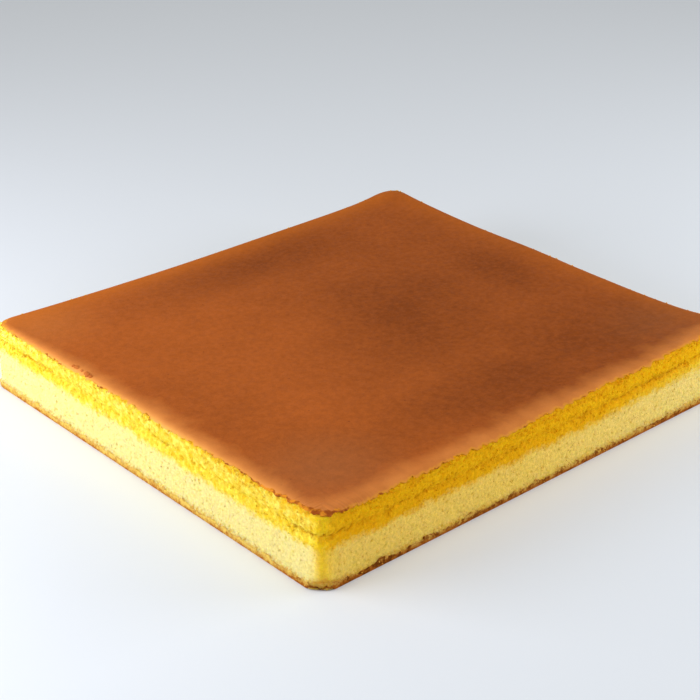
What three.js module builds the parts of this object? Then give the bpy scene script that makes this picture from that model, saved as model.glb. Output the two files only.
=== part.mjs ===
// A whole castella sheet, uncut: one block of fine egg sponge with a browned top and a thin
// browned base, as it is turned out of a paper-lined tin. The sponge is one solid. Its side
// carries the relief that baking leaves: a thin proud base crust, an even pale wall, two soft
// ridges with a crease between them, and the rolled edge of the top crust.
// Millimetres, +Z up, X along the long side, origin at the middle of the underside.

import * as THREE from "three";

// ---- Driving dimensions ---------------------------------------------------------------

const LENGTH = 381;
const WIDTH = 351;
const HEIGHT = 49.3; // at the rims, before the corners lift

// Corner radii seen from above. The paper's fold keeps the wall crisp, and the top is rounder.
const BASE_CORNER = 9;
const WALL_CORNER = 5;
const CRUST_CORNER = 7;
const TOP_CORNER = 15;

// Above a level the corners soften, by up to this much more radius at the top: anticlockwise
// from +X +Y. The one at -X -Y stays crisp.
const CORNER_SOFTENING = [11, 4.5, 0, 11];
const SOFT_FROM = 26;

// The foot of the corner at -X and -Y is crushed: how much wider its cut is than an arc, how
// nearly straight it is (1 for a straight cut), and the level where it has faded out.
const CRUSH_WIDTH = 3.5;
const CRUSH_STRAIGHTNESS = 0.62;
const CRUSH_TOP = 13;

// Base crust: a thin skin that stands a little proud of the crumb, rounded under.
const BASE_HEIGHT = 3.6;
const BASE_UNDERCUT = 0.3;
const BASE_STEPS = 3;

// Crumb wall: how far it lies behind the base crust, and how uneven it is.
const WALL_SETBACK = 1.7;
const CRUMB_ROUGHNESS = 0.3;
const PALE_TOP = 26; // the even, pale crumb ends here
const PALE_STEPS = 5;

// The ridged band over the pale crumb, as bells on the wall: level, half width, and rise.
// The band is highest at the back and lowest along the front.
const LOWER_RIDGE = { level: 31.0, spread: 2.4, rise: 0.5 };
const CREASE = { level: 36.2, spread: 1.9, rise: -1.15 };
const UPPER_RIDGE = { level: 41.4, spread: 2.8, rise: 0.7 };
const BAND_SWING = 1.7;
const BAND_WANDER = 0.6;
const SWING_PEAK = 0.13; // share of the way round where the band is highest
const RIDGED_TOP = 44.9;
const RIDGED_STEPS = 10;

// Top crust: the rolled edge, a quarter of an ellipse, then the flat in shrinking rings.
const ROLL_DEPTH = 3.6;
const ROLL_WIDTH = 6.5;
const ROLL_STEPS = 4;
const CRUST_LIP = 1.3; // how far the crust's edge lies behind the base crust
const TOP_RINGS = 6;
const TOP_WAVE = 0.6;

// The corners of the top lift as the sheet cools: rise at the tip, and reach along X and Y.
const CORNER_LIFTS = [
  { sideX: 1, sideY: 1, rise: 9.9, reachX: 20, reachY: 45 },
  { sideX: -1, sideY: 1, rise: 1.8, reachX: 34, reachY: 43 },
  { sideX: -1, sideY: -1, rise: 2.4, reachX: 38, reachY: 15 },
  { sideX: 1, sideY: -1, rise: 12, reachX: 60, reachY: 22 },
];

// The whole top leans a little: the -X and -Y rims are higher than the middle by these.
const RIM_TILT_X = 0.84;
const RIM_TILT_Y = 0.62;

// Soft hollows along the rims, and one low swelling (a negative depth).
const RIM_HOLLOWS = [
  { x: -35, y: 175, reachX: 120, reachY: 50, depth: 1.9 },
  { x: 190, y: -100, reachX: 50, reachY: 50, depth: 1.0 },
  { x: 190, y: 15, reachX: 50, reachY: 42, depth: -1.7 },
];

// Mesh steps round the outline.
const ARC_STEPS = 7;
const LONG_SIDE_STEPS = 44;
const SHORT_SIDE_STEPS = 40;
const SEED = 20481;

const HALF_LENGTH = LENGTH / 2;
const HALF_WIDTH = WIDTH / 2;
const QUARTER = Math.PI / 2;

// ---- Small helpers --------------------------------------------------------------------

function bell(distance, spread) {
  return Math.exp(-((distance / spread) ** 2));
}

function mix(from, to, share) {
  return from + (to - from) * share;
}

function between(value, from, to) {
  return Math.min(1, Math.max(0, (value - from) / (to - from)));
}

// A slow, closed wave round the outline, between about -1 and 1. `around` runs from 0 to 1.
function waver(around, phase) {
  const turn = around * 2 * Math.PI;
  const slow = Math.sin(5 * turn + phase);
  const middle = Math.sin(11 * turn + 2.3 * phase);
  const quick = Math.sin(23 * turn + 4.1 * phase);
  return 0.5 * slow + 0.3 * middle + 0.2 * quick;
}

// Repeatable random numbers between -1 and 1.
function makeRandom(seed) {
  let state = seed;
  return () => {
    state = (state * 1103515245 + 12345) % 2147483648;
    return (state / 2147483648) * 2 - 1;
  };
}

// ---- The top's height -----------------------------------------------------------------

// Height of the top surface over any place: lifted corners, hollowed rims and a gentle wave.
function topHeight(x, y) {
  let height = HEIGHT - (RIM_TILT_X * x) / HALF_LENGTH - (RIM_TILT_Y * y) / HALF_WIDTH;
  for (const corner of CORNER_LIFTS) {
    const fromEndX = HALF_LENGTH - corner.sideX * x;
    const fromEndY = HALF_WIDTH - corner.sideY * y;
    height += corner.rise * Math.exp(-fromEndX / corner.reachX - fromEndY / corner.reachY);
  }
  for (const hollow of RIM_HOLLOWS) {
    height -= hollow.depth * bell(x - hollow.x, hollow.reachX) * bell(y - hollow.y, hollow.reachY);
  }
  const wave = Math.sin(x / 41 + 0.7) * Math.cos(y / 33 - 0.4);
  return height + TOP_WAVE * wave;
}

// ---- The outline ----------------------------------------------------------------------

const CORNER_SIDES = [[1, 1], [-1, 1], [-1, -1], [1, -1]];
const CRUSHED_INDEX = 2;

// A place on a corner's arc, on a ring that is inset so far at this place. The crushed corner's
// foot is drawn out wider, and towards the straight cut between the arc's two ends.
function cornerPoint(corner, turn, inset, r) {
  const index = corner % 4;
  const [sideX, sideY] = CORNER_SIDES[index];
  const crush = index === CRUSHED_INDEX ? r.crush : 0;
  const flat = CRUSH_STRAIGHTNESS * crush;
  const bend = r.radius + CRUSH_WIDTH * crush + CORNER_SOFTENING[index] * r.softness;
  const start = corner * QUARTER;
  const share = (turn - start) / QUARTER;
  const cutX = mix(Math.cos(start), Math.cos(start + QUARTER), share);
  const cutY = mix(Math.sin(start), Math.sin(start + QUARTER), share);
  return {
    x: sideX * (HALF_LENGTH - inset - bend) + bend * mix(Math.cos(turn), cutX, flat),
    y: sideY * (HALF_WIDTH - inset - bend) + bend * mix(Math.sin(turn), cutY, flat),
  };
}

// Stations run anticlockwise from the +X side: each corner's arc, then the side that follows.
function outlineStations() {
  const stations = [];
  for (let corner = 0; corner < 4; corner += 1) {
    for (let step = 0; step <= ARC_STEPS; step += 1) {
      stations.push({ corner, turn: (corner + step / ARC_STEPS) * QUARTER, along: 0 });
    }
    const sideSteps = corner % 2 === 0 ? LONG_SIDE_STEPS : SHORT_SIDE_STEPS;
    for (let step = 1; step < sideSteps; step += 1) {
      stations.push({ corner, turn: (corner + 1) * QUARTER, along: step / sideSteps });
    }
  }
  return stations;
}

function outlinePoint(station, inset, r) {
  const start = cornerPoint(station.corner, station.turn, inset, r);
  if (station.along === 0) {
    return start;
  }
  const end = cornerPoint(station.corner + 1, station.turn, inset, r);
  return { x: mix(start.x, end.x, station.along), y: mix(start.y, end.y, station.along) };
}

// ---- The profile, from the middle of the underside to the middle of the top -------------

// One ring of the solid: its level on a 50 mm side, its inset, its corner radius, the scale
// that draws it in to the middle, how far the crumb's unevenness shows on it, how much of the
// crushed corner does, and how far the corners have softened.
function ring(level, inset, radius, scale = 1, rough = 0) {
  const crush = between(level, CRUSH_TOP, BASE_HEIGHT);
  const softness = between(level, SOFT_FROM, HEIGHT) ** 3;
  return { level, inset, radius, scale, rough, crush, softness };
}

function baseRings() {
  const rings = [ring(0, BASE_UNDERCUT, BASE_CORNER, 0)];
  for (let step = 0; step <= BASE_STEPS; step += 1) {
    const share = step / BASE_STEPS;
    const turn = share * QUARTER;
    const inset = BASE_UNDERCUT * (1 - Math.sin(turn));
    const radius = mix(BASE_CORNER, WALL_CORNER + WALL_SETBACK, share);
    rings.push(ring(BASE_HEIGHT * (1 - Math.cos(turn)), inset, radius));
  }
  return rings;
}

function wallRings() {
  const rings = [];
  const wallFoot = BASE_HEIGHT + WALL_SETBACK;
  for (let step = 0; step < PALE_STEPS; step += 1) {
    const level = mix(wallFoot, PALE_TOP, step / PALE_STEPS);
    rings.push(ring(level, WALL_SETBACK, WALL_CORNER, 1, 1));
  }
  for (let step = 0; step <= RIDGED_STEPS; step += 1) {
    const level = mix(PALE_TOP, RIDGED_TOP, step / RIDGED_STEPS);
    rings.push(ring(level, WALL_SETBACK, WALL_CORNER, 1, 1));
  }
  return rings;
}

function topRings() {
  const rings = [];
  for (let step = 0; step <= ROLL_STEPS; step += 1) {
    const turn = (step / ROLL_STEPS) * QUARTER;
    const inset = CRUST_LIP + ROLL_WIDTH * (1 - Math.cos(turn));
    const level = HEIGHT - ROLL_DEPTH * (1 - Math.sin(turn));
    rings.push(ring(level, inset, mix(CRUST_CORNER, TOP_CORNER, step / ROLL_STEPS)));
  }
  for (let step = 1; step <= TOP_RINGS; step += 1) {
    const scale = 1 - step / TOP_RINGS;
    rings.push(ring(HEIGHT, CRUST_LIP + ROLL_WIDTH, TOP_CORNER, scale));
  }
  return rings;
}

// How far the wall's ridges and crease stand out at a level. The crease deepens, fades and
// wanders up and down as it goes round.
function wallRelief(level, around) {
  const swing = BAND_SWING * Math.cos(2 * Math.PI * (around - SWING_PEAK));
  const wander = swing + BAND_WANDER * waver(around, 1.7);
  const strength = 0.7 + 0.5 * waver(around, 4.3);
  let relief = 0;
  for (const feature of [LOWER_RIDGE, CREASE, UPPER_RIDGE]) {
    relief += strength * feature.rise * bell(level - feature.level - wander, feature.spread);
  }
  return relief;
}

// ---- The solid ------------------------------------------------------------------------

// A lathe turns the profile into rings, and each ring is then drawn out from a circle to the
// sheet's outline at its own level.
function spongeGeometry() {
  const rings = [...baseRings(), ...wallRings(), ...topRings()];
  const stations = outlineStations();
  const profile = rings.map((r) => new THREE.Vector2((HALF_LENGTH - r.inset) * r.scale, r.level));
  const geometry = new THREE.LatheGeometry(profile, stations.length);
  const random = makeRandom(SEED);
  const position = geometry.attributes.position;

  stations.forEach((station, stationIndex) => {
    const around = stationIndex / stations.length;
    const crustEdge = 0.4 * waver(around, 2.9);
    rings.forEach((r, ringIndex) => {
      let inset = r.inset;
      if (r.rough > 0) {
        inset -= wallRelief(r.level, around) + r.rough * CRUMB_ROUGHNESS * random();
      } else if (r.level > RIDGED_TOP) {
        inset += crustEdge;
      }
      const place = outlinePoint(station, inset, r);
      const x = place.x * r.scale;
      const y = place.y * r.scale;
      const z = (r.level / HEIGHT) * topHeight(x, y);
      position.setXYZ(stationIndex * rings.length + ringIndex, x, y, z);
      if (stationIndex === 0) {
        position.setXYZ(stations.length * rings.length + ringIndex, x, y, z);
      }
    });
  });

  geometry.computeVertexNormals();
  return geometry;
}

const spongeMaterial = new THREE.MeshStandardMaterial({
  color: "#e9c75a",
  roughness: 0.85,
  metalness: 0,
});

const sponge = new THREE.Mesh(spongeGeometry(), spongeMaterial);
sponge.name = "castella_sponge";

const castella = new THREE.Group();
castella.add(sponge);

export default castella;
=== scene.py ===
# %% [markdown]
# # A whole castella sheet
# A castella is a fine egg sponge, baked in one block in a paper-lined tin. What we see of it
# is a smooth browned top, a wall of open crumb all round where the paper was peeled off, and a
# thin toasted base. The sheet's solid is already made: it is loaded here as a fixed frame, and
# each piece below is a finer skin over it, at its real size, in metres.

import math

import bpy
import numpy as np
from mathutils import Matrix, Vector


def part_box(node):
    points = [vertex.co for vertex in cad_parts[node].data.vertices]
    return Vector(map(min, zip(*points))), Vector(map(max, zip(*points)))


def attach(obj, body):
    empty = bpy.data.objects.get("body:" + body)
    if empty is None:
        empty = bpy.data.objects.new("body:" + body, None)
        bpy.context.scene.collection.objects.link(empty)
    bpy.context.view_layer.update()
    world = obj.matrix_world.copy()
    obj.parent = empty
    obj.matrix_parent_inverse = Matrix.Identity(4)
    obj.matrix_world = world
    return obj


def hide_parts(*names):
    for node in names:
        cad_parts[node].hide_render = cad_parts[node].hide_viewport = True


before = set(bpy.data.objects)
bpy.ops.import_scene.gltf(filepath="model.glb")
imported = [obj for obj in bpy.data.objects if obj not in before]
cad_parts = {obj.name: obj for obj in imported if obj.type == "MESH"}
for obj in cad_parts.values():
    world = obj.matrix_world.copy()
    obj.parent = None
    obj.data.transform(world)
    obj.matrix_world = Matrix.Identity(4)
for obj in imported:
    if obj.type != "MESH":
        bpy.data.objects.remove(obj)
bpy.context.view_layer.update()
MM = 0.001
low_corner, high_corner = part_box("castella_sponge")
HALF_LENGTH = (high_corner.x - low_corner.x) / 2 / MM
HALF_WIDTH = (high_corner.y - low_corner.y) / 2 / MM
print(f"sheet {2 * HALF_LENGTH:.0f} x {2 * HALF_WIDTH:.0f} mm, top at {high_corner.z / MM:.1f} mm")


def add_object(name, data):
    made = bpy.data.objects.new(name, data)
    bpy.context.scene.collection.objects.link(made)
    return made


# %% [markdown]
# ## Camera
# The camera stands about a metre off the near corner, half a metre up, and looks down a little
# over 26 degrees through a long lens, so the sheet's sides keep almost parallel. The place is
# given from the near corner, because that is the point the eye starts from.

# %% Set up the camera
CAMERA_FROM_CORNER = (-0.5249, -0.6152, 0.5650)
CAMERA_PITCH = 26.68
CAMERA_TURN = 41.706
CAMERA_LENS = 87.64

camera_data = bpy.data.cameras.new("camera")
camera_data.lens = CAMERA_LENS
camera_data.sensor_width = 36
camera_data.sensor_fit = "HORIZONTAL"
camera = add_object("camera", camera_data)
camera.location = (
    CAMERA_FROM_CORNER[0] - HALF_LENGTH * MM,
    CAMERA_FROM_CORNER[1] - HALF_WIDTH * MM,
    CAMERA_FROM_CORNER[2],
)
camera.rotation_euler = (math.radians(90 - CAMERA_PITCH), 0, -math.radians(CAMERA_TURN))
bpy.context.scene.camera = camera
print("camera at", [round(c, 3) for c in camera.location])

# %% [markdown]
# ## A shorthand for node trees
# Every finish below is a small tree of nodes. `Tree` adds a node, sets its fields, and either
# links a socket or types a value into it, so that a material reads as a list of steps. The
# same shorthand builds the Geometry Nodes trees, which share most of the node types. Grains of
# noise are given in millimetres.


# %% Shorthand for trees
class Tree:
    def __init__(self, node_tree):
        self.tree = node_tree

    def node(self, kind, inputs=None, **fields):
        made = self.tree.nodes.new(kind)
        for name, value in fields.items():
            setattr(made, name, value)
        for name, value in (inputs or {}).items():
            self.feed(made.inputs[name], value)
        return made

    def feed(self, socket, value):
        if isinstance(value, bpy.types.NodeSocket):
            self.tree.links.new(value, socket)
        else:
            socket.default_value = value

    def math(self, operation, first, second=0.0, third=0.0):
        made = self.node("ShaderNodeMath", {0: first, 1: second, 2: third}, operation=operation)
        return made.outputs[0]

    def plus(self, first, second):
        return self.math("ADD", first, second)

    def minus(self, first, second):
        return self.math("SUBTRACT", first, second)

    def times(self, first, second):
        return self.math("MULTIPLY", first, second)

    def vector(self, operation, first, second=(0.0, 0.0, 0.0)):
        return self.node("ShaderNodeVectorMath", {0: first, 1: second}, operation=operation).outputs

    def lengthened(self, vector, factor):
        scaled = {0: vector, "Scale": factor}
        return self.node("ShaderNodeVectorMath", scaled, operation="SCALE").outputs[0]

    def noise(self, place, grain, detail=2.0, roughness=0.5):
        inputs = {"Vector": place, "Scale": 1 / (grain * MM), "Detail": detail, "Roughness": roughness}
        return self.node("ShaderNodeTexNoise", inputs).outputs[0]

    def cells(self, place, frequency):
        """Scattered cells: how far off the middle of each is, and a colour of its own."""
        return self.node("ShaderNodeTexVoronoi", {"Vector": place, "Scale": frequency}).outputs

    def first(self, vector):
        return self.node("ShaderNodeSeparateXYZ", {0: vector}).outputs[0]

    def sway(self, place, grain, reach, detail=2.0, roughness=0.5):
        """Noise that swings evenly between -reach and reach."""
        noise = self.noise(place, grain, detail, roughness)
        return self.remap(noise, 0.3, 0.7, -reach, reach, smooth=False)

    def remap(self, value, low, high, to_low=0.0, to_high=1.0, smooth=True):
        inputs = {"Value": value, "From Min": low, "From Max": high, "To Min": to_low, "To Max": to_high}
        kind = "SMOOTHSTEP" if smooth else "LINEAR"
        return self.node("ShaderNodeMapRange", inputs, interpolation_type=kind).outputs[0]

    def ramp(self, value, stops):
        made = self.node("ShaderNodeValToRGB", {"Fac": value})
        ramp = made.color_ramp
        while len(ramp.elements) < len(stops):
            ramp.elements.new(0.5)
        for element, (place, colour) in zip(ramp.elements, stops):
            element.position = place
            element.color = (*colour, 1)
        return made.outputs["Color"]

    def blend(self, factor, first, second, kind="MIX"):
        made = self.node("ShaderNodeMix", data_type="RGBA", blend_type=kind)
        self.feed(made.inputs[0], factor)
        for socket, value in ((made.inputs[6], first), (made.inputs[7], second)):
            self.feed(socket, (*value, 1) if isinstance(value, tuple) else value)
        return made.outputs[2]

    def own_place(self):
        return self.node("ShaderNodeTexCoord").outputs["Object"]

    def marks(self, *labels):
        """The named attributes that a piece carries."""
        return [self.node("ShaderNodeAttribute", attribute_name=label).outputs["Fac"] for label in labels]

    def roughen(self, shader, height, strength, depth):
        inputs = {"Strength": strength, "Distance": depth * MM, "Height": height}
        self.feed(shader["Normal"], self.node("ShaderNodeBump", inputs).outputs[0])


def new_material(name, specular):
    """A new material, its tree, and the sockets of its one shader."""
    material = bpy.data.materials.new(name)
    material.use_nodes = True
    shader = material.node_tree.nodes["Principled BSDF"].inputs
    shader["Specular IOR Level"].default_value = specular
    return material, Tree(material.node_tree), shader


def linear(red, green, blue):
    """A screen colour, 0 to 255, as the linear light that Blender works in."""
    shares = [channel / 255 for channel in (red, green, blue)]
    return tuple(s / 12.92 if s <= 0.04045 else ((s + 0.055) / 1.055) ** 2.4 for s in shares)


# %% [markdown]
# ## Floor and light
# A pale, plain table and soft studio light. A lamp close by on the left, a little towards the
# camera, makes the left side glow and rakes over its crumb. One further off on the right does
# the same, more weakly, for the front. Both stand low, so they only graze the table and the
# shadows stay faint. A wide lamp overhead and an even sky light the top.

# %% Floor
FLOOR_SIZE = 8.0
FLOOR_COLOUR = linear(226, 232, 238)

floor_mesh = bpy.data.meshes.new("floor")
edge = FLOOR_SIZE / 2
floor_mesh.from_pydata(
    [(-edge, -edge, 0), (edge, -edge, 0), (edge, edge, 0), (-edge, edge, 0)], [], [(0, 1, 2, 3)]
)
floor = add_object("floor", floor_mesh)
floor_paint, floor_tree, floor_shader = new_material("floor_paint", specular=0.08)
floor_tree.feed(floor_shader["Base Color"], (*FLOOR_COLOUR, 1))
floor_tree.feed(floor_shader["Roughness"], 0.7)
floor_mesh.materials.append(floor_paint)
print("floor is", FLOOR_SIZE, "m wide")


# %% Lights
def softbox(name, towards, distance, size, power, colour):
    """An area lamp that faces the sheet. `towards` is right, ahead and up, as the camera sees it."""
    turn = math.radians(CAMERA_TURN)
    right, ahead, up = towards
    x = right * math.cos(turn) + ahead * math.sin(turn)
    y = -right * math.sin(turn) + ahead * math.cos(turn)
    length = math.sqrt(x * x + y * y + up * up)
    lamp_data = bpy.data.lights.new(name, "AREA")
    lamp_data.shape = "RECTANGLE"
    lamp_data.size, lamp_data.size_y = size
    lamp_data.energy = power
    lamp_data.color = colour
    lamp = add_object(name, lamp_data)
    lamp.location = [distance * c / length for c in (x, y, up)]
    lamp.rotation_mode = "QUATERNION"
    lamp.rotation_quaternion = lamp.location.to_track_quat("Z", "Y")
    print(f"{name}: {power} W at {[round(c, 2) for c in lamp.location]}")


KEY_COLOUR = (0.98, 0.98, 1.06)
FILL_COLOUR = (0.97, 0.99, 1.05)
softbox("key_left", (-1.01, -0.30, 0.36), 0.88, (0.7, 0.4), 6.1, KEY_COLOUR)
softbox("fill_right", (1.1, 0.05, 0.28), 1.1, (0.7, 0.45), 6.0, FILL_COLOUR)
softbox("overhead", (0.0, -0.3, 1.0), 2.5, (2.0, 2.0), 19.5, (1.0, 1.0, 1.0))

SKY_COLOUR = (1.0, 0.98, 0.95)
SKY_STRENGTH = 0.45
world = bpy.data.worlds.new("studio_air")
world.use_nodes = True
sky = world.node_tree.nodes["Background"]
sky.inputs["Color"].default_value = (*SKY_COLOUR, 1)
sky.inputs["Strength"].default_value = SKY_STRENGTH
bpy.context.scene.world = world
bpy.context.scene.view_settings.view_transform = "Standard"

# %% [markdown]
# ## The sheet's form
# The form follows a few rules. The outline is a rectangle with rounded corners. Three of them
# get rounder towards the top, and the near one stays crisp but was crushed at its foot. The top
# lifts at the corners and sags a little between them. The wall has two soft ridges with a
# crease between them, and this band rises and falls as it goes round. These are the same rules,
# with the same sizes in millimetres, as the solid's own.

# %% Sizes of the form
HEIGHT = 49.3
BASE_CORNER = 9.0
CRUSH_WIDTH = 3.5
CRUSH_STRAIGHTNESS = 0.62
CRUSH_TOP = 13.0
CORNER_SOFTENING = np.array([11.0, 4.5, 0.0, 11.0])  # anticlockwise from +X +Y
SOFT_FROM = 26.0
WALL_CORNER = 5.0
CRUST_CORNER = 7.0
TOP_CORNER = 15.0
BASE_HEIGHT = 3.6
BASE_UNDERCUT = 0.3
WALL_SETBACK = 1.7
WALL_SHOULDER = 44.9
ROLL_DEPTH = 3.6
ROLL_WIDTH = 6.5
CRUST_LIP = 1.3
RIM_TILT_X = 0.84
RIM_TILT_Y = 0.62
TOP_WAVE = 0.6

# Corner lifts: side in X, side in Y, rise, reach in X, reach in Y.
CORNER_LIFTS = [
    (1, 1, 9.9, 20, 45),
    (-1, 1, 1.8, 34, 43),
    (-1, -1, 2.4, 38, 15),
    (1, -1, 12, 60, 22),
]
# Rim hollows: place, reach in X and Y, depth. The last one is a low swelling.
RIM_HOLLOWS = [(-35, 175, 120, 50, 1.9), (190, -100, 50, 50, 1.0), (190, 15, 50, 42, -1.7)]
# Wall bells: level, spread, rise. The whole band swings up and down as it goes round.
LOWER_RIDGE = (31.0, 2.4, 0.5)
CREASE = (36.2, 1.9, -1.15)
UPPER_RIDGE = (41.4, 2.8, 0.7)
BAND_SWING = 1.7
BAND_WANDER = 0.6
BAND_FRAY = 0.4
SWING_PEAK = 0.13

# The solid's stations round the outline, so that its waves fall in the same places here.
ARC_STEPS = 7
SIDE_STEPS = (44, 40, 44, 40)
STATION_COUNT = 4 * ARC_STEPS + sum(SIDE_STEPS)
PERIMETER = 4 * (HALF_LENGTH + HALF_WIDTH)


# %% The rules
def bell(distance, spread):
    return np.exp(-((distance / spread) ** 2))


def between(value, low, high):
    """How far a value has come from `low` to `high`, kept within 0 and 1."""
    return np.clip((value - low) / (high - low), 0, 1)


def waver(around, phase):
    """A slow closed wave round the outline; `around` runs from 0 to 1."""
    turn = around * 2 * np.pi
    slow = np.sin(5 * turn + phase)
    middle = np.sin(11 * turn + 2.3 * phase)
    return 0.5 * slow + 0.3 * middle + 0.2 * np.sin(23 * turn + 4.1 * phase)


def ragged(around, seed, longest, shortest):
    """A torn, closed line round the outline, with bites between two lengths in millimetres."""
    pick = np.random.default_rng(seed)
    total = np.zeros(np.shape(around))
    strength = 0.0
    for share in np.linspace(0, 1, 26):
        length = longest * (shortest / longest) ** share
        cycles = max(1, round(PERIMETER / length * pick.uniform(0.9, 1.1)))
        rise = math.sqrt(length)
        total = total + rise * np.sin(cycles * around * 2 * np.pi + pick.uniform(0, 2 * np.pi))
        strength += rise * rise / 2
    return total / math.sqrt(strength)


def share_of_rim(x, y):
    """How far round the rim a place is, from 0 to 1, evenly along each side.

    The corners are at 0 (+X -Y), 0.25 (far), 0.5 (left) and 0.75 (near)."""
    a, b = x / HALF_LENGTH, y / HALF_WIDTH
    on_end = np.where(a > 0, (1 + b) / 2, 2 + (1 - b) / 2)
    on_long = np.where(b > 0, 1 + (1 - a) / 2, 3 + (1 + a) / 2)
    return np.where(np.abs(a) >= np.abs(b), on_end, on_long) / 4


def from_near_tip(share):
    """Millimetres along the rim from the near corner: the left side is below zero."""
    return (share - 0.75) * PERIMETER


def top_height(x, y):
    height = HEIGHT - RIM_TILT_X * x / HALF_LENGTH - RIM_TILT_Y * y / HALF_WIDTH
    for side_x, side_y, rise, reach_x, reach_y in CORNER_LIFTS:
        from_end = (HALF_LENGTH - side_x * x) / reach_x + (HALF_WIDTH - side_y * y) / reach_y
        height = height + rise * np.exp(-from_end)
    for place_x, place_y, reach_x, reach_y, depth in RIM_HOLLOWS:
        height = height - depth * bell(x - place_x, reach_x) * bell(y - place_y, reach_y)
    return height + TOP_WAVE * np.sin(x / 41 + 0.7) * np.cos(y / 33 - 0.4)


def softening(index, level):
    """How much radius a corner has gained at a level. The near one stays crisp."""
    return CORNER_SOFTENING[index] * between(level, SOFT_FROM, HEIGHT) ** 3


def outline(corner, turn, along, inset, radius, level):
    """The place at `turn` on a corner's arc, carried `along` the straight side to the next corner.

    Low down, the near corner's arc is drawn out wider and flatter, where it was crushed."""
    crush = between(level, CRUSH_TOP, BASE_HEIGHT)
    ends = []
    for offset in (0, 1):
        index = (corner + offset) % 4
        side_x = np.where((index == 0) | (index == 3), 1, -1)
        side_y = np.where(index < 2, 1, -1)
        own_crush = np.where(index == 2, crush, 0)
        flat = CRUSH_STRAIGHTNESS * own_crush
        bend = radius + CRUSH_WIDTH * own_crush + softening(index, level)
        first = (corner + offset) * np.pi / 2
        share = (turn - first) / (np.pi / 2)
        cut_x = np.cos(first) + (np.cos(first + np.pi / 2) - np.cos(first)) * share
        cut_y = np.sin(first) + (np.sin(first + np.pi / 2) - np.sin(first)) * share
        reach_x = np.cos(turn) + (cut_x - np.cos(turn)) * flat
        reach_y = np.sin(turn) + (cut_y - np.sin(turn)) * flat
        x = side_x * (HALF_LENGTH - inset - bend) + bend * reach_x
        y = side_y * (HALF_WIDTH - inset - bend) + bend * reach_y
        ends.append((x, y))
    (start_x, start_y), (end_x, end_y) = ends
    return start_x + (end_x - start_x) * along, start_y + (end_y - start_y) * along


def band_level(level, around):
    """The level as the ridged band sees it: without the band's own ups and downs."""
    swing = BAND_SWING * np.cos(2 * np.pi * (around - SWING_PEAK))
    fray = BAND_FRAY * ragged(around, seed=11, longest=30, shortest=5)
    return level - swing - BAND_WANDER * waver(around, 1.7) - fray


def band_strength(around):
    return 0.7 + 0.5 * waver(around, 4.3)


def wall_relief(level, around):
    """How far the wall's ridges stand out, and how deep its crease goes, in millimetres."""
    own_level = band_level(level, around)
    relief = 0
    for middle, spread, rise in (LOWER_RIDGE, CREASE, UPPER_RIDGE):
        relief = relief + band_strength(around) * rise * bell(own_level - middle, spread)
    return relief


print("rim at the middle of the front:", round(float(top_height(0, -HALF_WIDTH)), 2), "mm")

# %% [markdown]
# ## Walking round the outline
# The sides are a grid: columns that walk along the outline and rows that climb it. A column is
# named by its corner, its turn on that corner's arc, and how far along the straight side it
# is. The walk starts in the middle of one corner and stops just before it closes.


# %% Columns round the outline
def around_share(corner, turn, along):
    """The column's share of the way round, counted in the solid's own stations."""
    starts = np.cumsum([0] + [ARC_STEPS + s for s in SIDE_STEPS])
    on_arc = np.where(along > 0, ARC_STEPS, (turn / (np.pi / 2) - corner) * ARC_STEPS)
    sides = np.array(SIDE_STEPS)[corner % 4]
    return corner // 4 + (starts[corner % 4] + on_arc + along * sides) / STATION_COUNT


def walk(step, arc_radius):
    """Each column's corner, turn, place along the side, and share of the way round."""
    columns = []
    arc_count = max(4, round(arc_radius * np.pi / 4 / step))
    for corner in range(4):
        half = HALF_LENGTH if corner % 2 == 0 else HALF_WIDTH
        side_count = round(2 * (half - arc_radius) / step)
        for turn in np.linspace(corner + 0.5, corner + 1, arc_count, endpoint=False):
            columns.append((corner, turn, 0))
        for along in np.arange(side_count) / side_count:
            columns.append((corner, corner + 1, along))
        for turn in np.linspace(corner + 1, corner + 1.5, arc_count, endpoint=False):
            columns.append((corner + 1, turn, 0))
    corner, turn, along = np.array(columns).T
    corner, turn = corner.astype(int), turn * np.pi / 2
    return corner, turn, along, around_share(corner, turn, along)


print("columns at 5 mm steps:", len(walk(5.0, WALL_CORNER)[0]))

# %% [markdown]
# ## From arrays to a mesh
# Each piece starts as arrays of points and faces. `build_piece` makes the mesh, writes the
# layout that a texture would be painted on, and adds the named attributes that the trees and
# materials read, such as `level`, the height on an even side, and `out`, the way it faces.


# %% Build a piece
def build_piece(name, points_mm, faces, face_uvs, attributes, material):
    mesh = bpy.data.meshes.new(name)
    mesh.from_pydata((np.asarray(points_mm) * MM).tolist(), [], faces)
    layout = mesh.uv_layers.new(name="OFBake")
    layout.data.foreach_set("uv", np.concatenate([np.ravel(uv) for uv in face_uvs]).astype(np.float32))
    for label, values in attributes.items():
        values = np.asarray(values, np.float32)
        kind = "FLOAT_VECTOR" if values.ndim == 2 else "FLOAT"
        attribute = mesh.attributes.new(label, kind, "POINT")
        attribute.data.foreach_set("vector" if values.ndim == 2 else "value", values.ravel())
    mesh.materials.append(material)
    mesh.shade_smooth()
    print(f"{name}: {len(mesh.vertices)} points, {len(mesh.polygons)} faces")
    return add_object(name, mesh)


def grid_faces(index, closed=True):
    """Quads of a grid of point numbers, facing out from the sheet. A closed one wraps round."""
    if closed:
        index = np.concatenate([index, index[:1]])
    return np.stack([index[:-1, :-1], index[1:, :-1], index[1:, 1:], index[:-1, 1:]], -1).reshape(-1, 4)


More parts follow.
